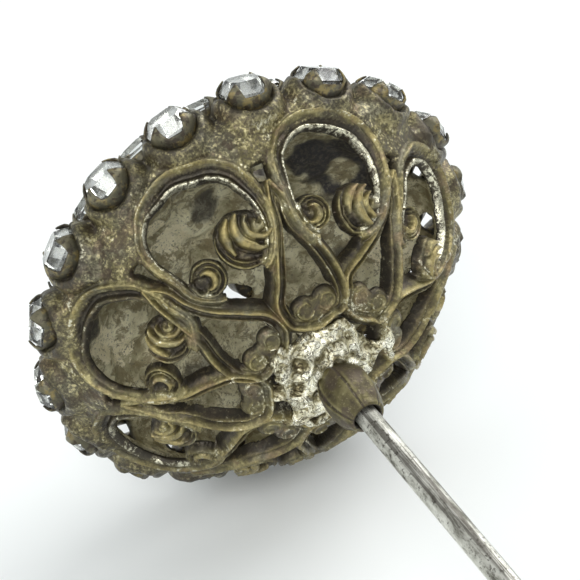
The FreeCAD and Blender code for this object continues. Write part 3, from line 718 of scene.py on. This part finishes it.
def beside(centre, right, up):
    """A point of the drawing moved right and towards the apex by millimetres."""
    return centre[0] + math.degrees(right / ring_radius(centre[1])), centre[1] + up


def arc_points(centre, first_radius, last_radius, first_angle, last_angle, count=9):
    """Points of a spiral arc in the drawing: angle 0 is right, 90 is towards the apex."""
    share = np.linspace(0, 1, count)
    radius = first_radius + (last_radius - first_radius) * share
    angle = np.radians(first_angle + (last_angle - first_angle) * share)
    degrees = np.degrees(radius * np.cos(angle) / ring_radius(centre[1]))
    return np.stack([centre[0] + degrees, centre[1] + radius * np.sin(angle)], axis=-1)


def add_scroll(relief, sector, middle, rng):
    """A C-scroll: a thin crest, a dark groove, a scuffed lip inside, and two curled ends."""
    line = sector_line(SCROLL, middle, rng, 90, wander=0.07)
    relief.strip(line, SCROLL_FLANK, (0.4, 0.45, 0.55, 0.7, 1, 1, 0.75, 0.55, 0.5, 0.4))
    left = [LEFT_LIP[sector] * share for share in (0.35, 0.45, 0.6, 0.85)]
    lip = SCROLL_LIP.copy()
    lip[:, 2] *= np.where(lip[:, 2] > 0, LIP_SHINE[sector], 1)
    relief.strip(line, lip, (*left, 0.95, 1.1, 1.05, 0.75, 0.45, 0.3))
    moved = (beside(RIGHT_CURL[0], *CURL_SHIFT[sector]), *RIGHT_CURL[1:], CURL_SIZE[sector])
    for centre, reach, ridges, size in (moved, (*LEFT_CURL, 1)):
        centre = (centre[0] + rng.normal(0, 0.4), centre[1] + rng.normal(0, 0.06))
        relief.disc(middle - centre[0], centre[1], reach * size, -0.95, dished=0.12)
        for shift, radii, angles, width, sink, profile in ridges:
            points = arc_points(beside(centre, *np.array(shift) * size), *np.array(radii) * size, *angles)
            path = sector_line(points, middle, rng, 36, wander=0.02)
            tapered = [width * size * share for share in RIDGE_TAPER]
            relief.strip(path, profile, tapered, sink=sink, open_ends=False)


def add_drop(relief, middle, rng):
    """A drop: a double rib round its window, and two small curls on a plate at its base."""
    line = sector_line(DROP, middle, rng, 130)
    relief.strip(line, RIB, (0.75, 1, 1.1, 1, 1, 1, 1.1, 1, 0.75))
    for side in (-1, 1):
        centre = (side * 8.4 + rng.normal(0, 0.8), 15.8 + rng.normal(0, 0.1))
        relief.disc(middle - centre[0], centre[1], 1, -0.44, dished=0.05)
        points = arc_points(centre, 0.66, 0.45, 90 + side * 60, 90 - side * 250)
        path = sector_line(points, middle, rng, 30, wander=0.02)
        relief.strip(path, RING, (0.15, 0.2, 0.2, 0.13), sink=0.22, open_ends=False)
    relief.disc(middle, 16.3, 1.2, -0.52)


def rim_cup_distance(points):
    """Each point's distance from the nearest rim cup's axis, and how far along that axis it is."""
    nearest = np.full(points.shape[:-1], 1e9)
    level = np.zeros(points.shape[:-1])
    for middle, out, _ in seat_frames("rim"):
        offset = points - middle
        along = offset @ out
        apart = np.sqrt(np.maximum(np.einsum("...i,...i->...", offset, offset) - along ** 2, 0))
        closer = (apart < nearest) & (np.abs(along) < 4)
        nearest[closer] = apart[closer]
        level[closer] = along[closer]
    return nearest, level


# The notches in the margin that the rim cups sit in: radius, and reach along a cup's axis.
NOTCH_RADIUS = 1.62
NOTCH_REACH = 2.2


def margin_height(relief, off_scroll, from_axis):
    """The lumpy margin: raised against the cups, hollow between them and low beside the ridges."""
    hug = smoothstep(2.8, 2, from_axis)
    hollow = smoothstep(2.2, 3, from_axis) * smoothstep(1.9, 0.6, relief.arc)
    lumps = 0.13 * rough(relief.points, 1.9, 21) + 0.06 * rough(relief.points, 0.6, 31)
    beside_ridge = smoothstep(1, 0.3, np.interp(off_scroll, *np.array(RIDGE_TOP).T) - relief.arc)
    swell = 0.36 * (1 + np.cos(np.radians(relief.turn - 285))) * smoothstep(3.2, 0.8, relief.arc)
    height = -0.32 + 0.7 * hug - 0.45 * hollow + lumps - 0.35 * smoothstep(0.1, -0.8, relief.arc)
    height += swell - 0.2 * beside_ridge
    return height


def back_shell():
    """The openwork shell: eight scrolls and eight drops on a dished dome, with a lumpy margin."""
    relief = Relief(dome, -0.9, DOME_ARC - 1.1, 1080, 240, -1.35)
    rng = np.random.default_rng(11)
    off_scroll = np.abs((relief.turn - FIRST_LOOP + SECTOR_STEP / 2) % SECTOR_STEP - SECTOR_STEP / 2)
    edge = np.interp(off_scroll, *np.array(MARGIN_EDGE).T)
    from_axis, level = rim_cup_distance(relief.points)
    height = margin_height(relief, off_scroll, from_axis)
    wear_and_shading = 0.12 + 0.22 * rough(relief.points, 1.3, 41)
    relief.lay(WHOLE, edge - relief.arc, height, wear_and_shading, 0)
    relief.lay(WHOLE, relief.arc - (DOME_ARC - 3.3), -0.42, 0.6, 0)
    for sector in range(SECTORS):
        middle = FIRST_LOOP + SECTOR_STEP * sector
        add_drop(relief, middle - SECTOR_STEP / 2 + DROP_LEAN[sector], rng)
        add_scroll(relief, sector, middle, rng)
    relief.speckle = np.where(np.abs(relief.height - height) < 1e-9, 1, 0.15)
    relief.height += 0.035 * rough(relief.points, 0.9, 51) + 0.015 * rough(relief.points, 0.3, 61)
    relief.solid += 0.05 * rough(relief.points, 0.8, 71)
    notch = np.where(np.abs(level) < NOTCH_REACH, from_axis - NOTCH_RADIUS, -OUTSIDE)
    relief.solid = np.minimum(relief.solid, notch)
    # Painted shade: dark where the rim cups meet the margin, and darker towards the side the head lies on.
    underside = smoothstep(-2, 13, -relief.points @ HEAD_AXES[:, 2])
    relief.stain = np.clip(0.95 * smoothstep(2.75, 1.9, from_axis) + 0.4 * underside, 0, 1)
    near_solder = smoothstep(DOME_ARC - 7.5, DOME_ARC - 4, relief.arc)
    relief.silver = np.clip(relief.silver + 0.25 * near_solder, 0, 1)
    return relief.mesh("back_shell_work", lambda top: 0.5 * top - 0.72, 0.3, 0.3)


# Piercings: distance from the pin's line, turn, radius and stretch.
CROWN_HOLES = [(4.6, 273, 1.15, 1.45), (8.2, 119, 0.6, 1.2), (6.95, 182.5, 0.75, 1),
               (7.1, 62.5, 0.9, 1.25), (11.95, 28.6, 0.5, 1), (11.3, 250, 0.3, 1),
               (13.6, 316, 1, 1.3)]
# The skirt's piercings, one under each second-row seat: height, radius and stretch.
SKIRT_HOLE = (0.55, 0.85, 1.15)
# Painted shade, gaps in it, and pale patches of painted light: distance from the pin's line, turn, size and
# strength.
CROWN_PAINTED_SHADE = [(10.5, 33, 3.1, 1), (12.4, 42, 1.8, 1), (9.6, 49, 1.9, 1), (10.6, 20, 1.6, 0.9),
                (5.4, 110, 1.3, 0.8), (12.6, 180, 1, 0.9), (10, 250, 1.6, 0.6), (9.5, 340, 1.5, 0.7)]
CROWN_SHADE_GAPS = [(10.3, 30.5, 1.25, 0.9), (12.3, 50.5, 0.9, 0.7)]
CROWN_PAINTED_LIGHT = [(5.4, 147, 1.6, 1), (8.1, 140, 1.2, 0.9), (11.6, 192, 1.3, 1), (10.4, 203, 1.5, 0.8),
              (12.6, 350, 2.2, 1), (11.9, 188, 1, 0.9), (9.4, 300, 1.4, 0.6), (3, 60, 1.2, 0.5)]


def patches(relief, spots, seed):
    """How strongly the soft ragged patches show at each point of the crown."""
    total = np.zeros(relief.turn.shape)
    ragged = 0.35 * rough(relief.points, 0.9, seed)
    for radius, turn, size, strength in spots:
        apart = np.linalg.norm(relief.points - crown(turn, crown_arc(radius), 0), axis=-1)
        total = np.maximum(total, strength * smoothstep(1.15, 0.75, apart / size + ragged))
    return total


def front_crown():
    """The crown seen from within: bumps where the cups stand, and small piercings."""
    relief = Relief(crown, 0.0, CROWN_ARC, 420, 84, 0.0)
    relief.solid[:] = 3
    for name in ("second", "third", "inner", "centre"):
        radius, rise, tilt = ROWS[name][:3]
        lean = math.radians(tilt)
        foot = (radius - CUP_DEPTH * math.cos(lean), rise + CUP_DEPTH * math.sin(lean))
        arc = CROWN_STEPS[np.argmin(np.hypot(*(CROWN_PATH - foot).T))]
        for turn in seat_turns(name):
            apart = np.linalg.norm(relief.points - crown(turn, arc, 0), axis=-1)
            relief.height += 0.58 * np.exp(-(apart / 1.72) ** 6) - 0.16 * np.exp(-(apart / 0.5) ** 2)
    for radius, turn, size, stretch in CROWN_HOLES:
        relief.pierce(turn, crown_arc(radius), size, stretch)
    for turn in seat_turns("second"):
        relief.pierce(turn, crown_arc(SKIRT_HOLE[0], axis=1), *SKIRT_HOLE[1:])
    relief.height += 0.1 * rough(relief.points, 2.4, 81) + 0.03 * rough(relief.points, 0.5, 91)
    # Painted shade in soft dark patches with gaps, and pale patches of painted light.
    relief.stain = patches(relief, CROWN_PAINTED_SHADE, 171) * (1 - patches(relief, CROWN_SHADE_GAPS, 173))
    relief.silver = patches(relief, CROWN_PAINTED_LIGHT, 181)
    return relief.mesh("front_crown_work", lambda top: 0 * top - 0.45, 0.25, 0.12)


# Gaps in the solder: turn, distance from the apex, radius and stretch.
SOLDER_GAPS = [(28.7, 4.2, 0.62, 1.7), (208.7, 4.4, 0.75, 1.8), (253.7, 3.9, 0.45, 1.5),
               (343.7, 4.1, 0.85, 1.5), (298.7, 4.3, 0.6, 1.5), (329, 2.9, 0.35, 1.6)]


def solder_patch():
    """Solder run over the shell's top and between the drops, ragged at its edge."""
    relief = Relief(dome, DOME_ARC - 6.4, DOME_ARC - 1.25, 300, 58, -1.0)
    radial = DOME_ARC - relief.arc
    reach = 4.55 + 0.95 * rough(relief.points, 2.6, 101)
    crumple = 0.42 - 0.7 * np.abs(rough(relief.points, 1.3, 111, 2)) + 0.07 * rough(relief.points, 0.45, 121)
    mound = 0.3 * np.exp(-((radial - 1.9) / 0.9) ** 2)
    relief.lay(WHOLE, reach - radial, crumple + mound - 0.14, 0, 0)
    for turn, distance, radius, stretch in SOLDER_GAPS:
        relief.pierce(turn, DOME_ARC - distance, radius, stretch)
    relief.solid += 0.12 * rough(relief.points, 0.7, 131)
    return relief.mesh("solder_work", lambda top: 0 * top - 0.55, 0.35, 0.35)


# Turned pieces.
def ring_faces(rings, around):
    """Quads between successive rings of points, facing outwards for rising rings."""
    here = np.arange(rings * around).reshape(rings, around)
    ahead = np.roll(here, -1, 1)
    return np.stack([here[:-1], ahead[:-1], ahead[1:], here[1:]], axis=-1).reshape(-1, 4)


# The bulb's half-outline, from its foot over its widest part into its mouth: radius and height.
FERRULE_LEVELS = 80
FERRULE_SIDE = smooth_path([(1.3, 11.8), (1.55, 12.25), (1.88, 13), (2, 13.9), (1.93, 14.8), (1.7, 15.6),
                            (1.34, 16.2), (1.24, 16.36), (1.1, 16.41), (0.98, 16.33), (0.9, 15.9),
                            (0.86, 15.2)], FERRULE_LEVELS)
FERRULE_MOUTH = 58
GORES = 6


def pin_ferrule():
    """The bulb: a fluted bud with ridges between its gores and a painted highlight line, and a mouth painted
    dark as shade.
    """
    around = 120
    angle = np.linspace(0, 2 * math.pi, around, endpoint=False)
    phase = (angle * GORES / (2 * math.pi) + 0.15) % 1
    ridge = np.abs(phase - 0.5) * 2
    flute = 1 - 0.085 * (1 - ridge ** 2) ** 0.8
    seam = np.exp(-((phase - 0.93) / 0.035) ** 2)
    # A painted highlight line beside the seam, in colour only.
    crest = np.exp(-((phase - 0.83) / 0.045) ** 2)
    radius, height = FERRULE_SIDE[:, :1], FERRULE_SIDE[:, 1:]
    outside = (np.arange(FERRULE_LEVELS) < FERRULE_MOUTH)[:, None]
    depth = smoothstep(11.8, 12.6, height) * smoothstep(16.35, 15.9, height) * outside
    radius = radius * (1 + depth * (flute - 1)) - 0.07 * depth * seam
    points = spun(radius, angle, height).reshape(-1, 3)
    points += 0.025 * lattice_noise(points, 0.8, 141)[:, None] * np.array([1.0, 1.0, 0.3])
    # Colour by relief: brighter on the gore ridges and the painted highlight line, darker in the seam, and
    # zero inside the mouth as painted shade.
    relief = (0.52 + 0.3 * (ridge ** 4 + crest) - 0.75 * seam) * outside
    foot = np.arange(around)[None, ::-1]
    faces = [ring_faces(FERRULE_LEVELS, around), foot]
    return new_piece("pin_ferrule_work", to_row(points), faces, {"relief": relief.ravel()})


def pin_shank():
    """The wire: straight, with faint waves from drawing and handling, and a long point."""
    around = 28
    heights = np.concatenate([np.linspace(11.2, 183, 260), np.linspace(184, 196.6, 20), [196.85, 196.97]])
    radius = np.interp(heights, [0, 183, 196.6, 196.9, 197], [0.8, 0.8, 0.1, 0.07, 0.03])
    angle = np.linspace(0, 2 * math.pi, around, endpoint=False)
    points = spun(radius[:, None], angle, heights[:, None]).reshape(-1, 3)
    dents = 1 - 0.012 * (1 + rough(points * np.array([1, 1, 0.35]), 0.9, 151))
    points[:, :2] *= dents[:, None]
    butt = np.arange(around)[None, ::-1]
    tip = (len(heights) - 1) * around + np.arange(around)[None, :]
    return new_piece("pin_shank_work", to_row(points), [ring_faces(len(heights), around), butt, tip], {})


# Cups and stones.
CUP_AROUND = 64
CUP_OUTER_LEVELS = 15
CUP_INNER_LEVELS = 5
CUP_WALL = 0.13
# A cup's side, from the middle of its foot to a claw's end: radius and height above the girdle.
CUP_SIDE = smooth_path([(0, -1.62), (1.1, -1.62), (1.5, -1.52), (1.62, -1.05), (1.74, -0.55), (1.86, -0.1),
                        (1.93, 0.15), (1.87, 0.4), (1.64, 0.68), (1.4, 0.9), (1.2, 1)], 200)
CUP_RUN = running_length(CUP_SIDE)
# How far along its side a cup's rim lies, and how far past the rim a claw reaches.
CUP_RIM = 3.02
CUP_CLAW = 1.36


def cup_side(run):
    """Radius and height at a distance along a cup's side."""
    return np.array(columns_at(run, CUP_RUN, CUP_SIDE))


def cup_points(rng):
    """One cup in its own frame: X towards the back, Z outwards; a wall whose rim rises into four claws."""
    angle = np.linspace(0, 2 * math.pi, CUP_AROUND, endpoint=False)
    lift = np.zeros(CUP_AROUND)
    for claw in range(4):
        middle = math.radians(45 + 90 * claw + rng.normal(0, 5))
        half = math.radians(20 + rng.normal(0, 1.5))
        apart = np.abs((angle - middle + math.pi) % (2 * math.pi) - math.pi)
        length = 1 + rng.normal(0, 0.1)
        lift = np.maximum(lift, length * np.clip(1 - apart / half, 0, 1) ** 0.7)
    run = CUP_RIM + CUP_CLAW * lift
    outer_run = (np.linspace(0.02, 1, CUP_OUTER_LEVELS) ** 0.9)[:, None] * run
    inner_run = (1 - np.linspace(0, 0.62, CUP_INNER_LEVELS))[:, None] * run
    step = 0.05
    rings = []
    for place, inward in ((outer_run, 0), (inner_run, CUP_WALL)):
        radius, height = cup_side(place)
        slope_out, slope_up = cup_side(place + step) - cup_side(place - step)
        length = np.hypot(slope_out, slope_up) + 1e-6
        rings.append(spun(radius - inward * slope_up / length, angle, height + inward * slope_out / length))
    points = np.concatenate(rings).reshape(-1, 3)
    points[:, 0] += 0.05 * rng.normal()
    # Brightness up the wall: scuffed edges with a painted highlight near the rim, painted shade at the foot;
    # the inside stays dark as painted shade.
    rubbed_and_shaded = np.clip(0.25 + 0.5 * (outer_run - 1.6) / 2.2, 0, 1)
    return points, np.concatenate([rubbed_and_shaded, np.zeros_like(inner_run)]).ravel()


def row_cups(name):
    """All the cups of a row as one piece."""
    rng = np.random.default_rng(len(name) * 7 + ROWS[name][3])
    foot = np.arange(CUP_AROUND)[None, ::-1]
    groups, points, wear_and_shading = [], [], []
    start = 0
    for middle, out, back in seat_frames(name):
        local, rubbed_and_shaded = cup_points(rng)
        side = np.cross(out, back)
        placed = middle + local[:, :1] * back + local[:, 1:2] * side + local[:, 2:] * out
        placed += 0.03 * lattice_noise(placed, 0.9, 161)[:, None] * out
        groups += [ring_faces(CUP_OUTER_LEVELS + CUP_INNER_LEVELS, CUP_AROUND) + start, foot + start]
        points.append(placed)
        wear_and_shading.append(rubbed_and_shaded)
        start += len(local)
    points = to_row(np.concatenate(points))
    points[:, 2] = np.maximum(points[:, 2], 0)
    return new_piece(name + "_row_cups", points, groups, {"relief": np.concatenate(wear_and_shading)})


def stone_mesh(materials):
    """One faceted stone: table, crown, girdle and pavilion, eight-sided, with a foiled back."""
    def ring(radius, height, half):
        turns = [corner + side for corner in (45, 135, 225, 315) for side in (-half, half)]
        return (spun(radius, np.radians(turns), height) * MM).tolist()

    points = ring(1.2, 0.92, 15) + ring(1.78, 0.12, 19) + ring(1.78, -0.1, 19) + ring(0.45, -1.36, 15)
    faces = [tuple(range(8)), tuple(range(31, 23, -1))]
    for k in range(8):
        after = (k + 1) % 8
        for above in (0, 8, 16):
            faces.append((above + k, above + 8 + k, above + 8 + after, above + after))
    mesh = bpy.data.meshes.new("stone_cut")
    mesh.from_pydata(points, [], faces)
    mesh.update()
    for material in materials:
        mesh.materials.append(material)
    for polygon in mesh.polygons:
        polygon.material_index = int(polygon.center.z < -0.2 * MM)
    return mesh


def place_stones(mesh):
    """A faceted stone in every cup, each turned a little on its own axis."""
    rng = np.random.default_rng(5)
    nodes = {"rim": "rim_stone_%02d", "second": "second_stone_%02d", "third": "third_stone_%02d",
             "inner": "inner_row_stones", "centre": "centre_stone"}
    for row, node in nodes.items():
        for number, (middle, out, back) in enumerate(seat_frames(row), 1):
            twist = rng.normal(0, 0.07)
            tilt = rng.normal(0, 0.03, 2)
            piece = new_object("cut_%s_%02d" % (row, number), mesh)
            axes = np.array([back, np.cross(out, back), out]) @ HEAD_AXES
            turn = Matrix(axes.T.tolist()).to_4x4()
            for angle, axis in zip((twist, *tilt), "ZXY"):
                turn = turn @ Matrix.Rotation(angle, 4, axis)
            piece.matrix_world = Matrix.Translation(to_row(middle).tolist()) @ turn
            stand_for(piece, None, "glass_stone", node % number if "%" in node else node)


stand_for(back_shell(), shell_brass(), "aged_brass", "back_shell")
stand_for(front_crown(), crown_brass(), "aged_brass", "front_crown")
stand_for(solder_patch(), solder_metal(), "solder", "solder_patch")
stand_for(pin_ferrule(), ferrule_brass(), "ferrule_brass", "pin_ferrule")
stand_for(pin_shank(), pin_steel(), "steel_pin", "pin_shank")
cups = claw_brass()
for row_name in ROWS:
    setting = "centre_setting" if row_name == "centre" else row_name + "_row_settings"
    stand_for(row_cups(row_name), cups, "claw_brass", setting)
place_stones(stone_mesh([glass(), foil()]))

# Floor, light and camera. The floor's half-width is in metres, the camera's distances in millimetres.
HEAD_PLACE = Vector((HEAD_ORIGIN * MM).tolist())
FLOOR_HALF = 1.5
WORLD_STRENGTH = 0.61
CAMERA_RIGHT = Vector((0.879, -0.472, -0.062)).normalized()
CAMERA_BACK = Vector((-0.355, -0.737, 0.575)).normalized()
CAMERA_AWAY = 141.1
AIM_RIGHT = 2.64
AIM_UP = -0.64


def add_floor():
    corners = np.array([(-1, -1, 0), (1, -1, 0), (1, 1, 0), (-1, 1, 0)]) * FLOOR_HALF
    floor = new_piece("floor", corners, [np.array([[0, 1, 2, 3]])], {})
    floor.data.materials.append(floor_paper())


def add_softbox(name, offset_mm, size_mm, power):
    """A square soft light at an offset from the head, facing it."""
    light = bpy.data.lights.new(name, "AREA")
    light.size = size_mm * MM
    light.energy = power
    lamp = new_object(name, light)
    offset = Vector(offset_mm) * MM
    lamp.location = HEAD_PLACE + offset
    lamp.rotation_mode = "QUATERNION"
    lamp.rotation_quaternion = (-offset).to_track_quat("-Z", "Y")


def add_world():
    world = bpy.data.worlds.new("studio")
    bpy.context.scene.world = world
    world.use_nodes = True
    background = world.node_tree.nodes["Background"]
    background.inputs["Color"].default_value = (0.96, 0.99, 1.0, 1.0)
    background.inputs["Strength"].default_value = WORLD_STRENGTH


def add_camera():
    data = bpy.data.cameras.new("camera")
    data.sensor_width = 36
    data.lens = 121.7
    data.clip_start = 0.005
    data.clip_end = 10
    camera = new_object("camera", data)
    up = CAMERA_BACK.cross(CAMERA_RIGHT).normalized()
    right = up.cross(CAMERA_BACK)
    aim = HEAD_PLACE + (right * AIM_RIGHT + up * AIM_UP) * MM
    turn = Matrix((right, up, CAMERA_BACK)).transposed().to_4x4()
    camera.matrix_world = Matrix.Translation(aim + CAMERA_BACK * CAMERA_AWAY * MM) @ turn
    bpy.context.scene.camera = camera


add_floor()
add_softbox("key_behind", (420, 120, 400), 420, 2.25)
add_softbox("side_left", (-440, -40, 330), 260, 0.4)
add_softbox("fill_front", (-260, -400, 400), 260, 1.5)
add_world()
add_camera()
bpy.context.scene.view_settings.view_transform = "Standard"
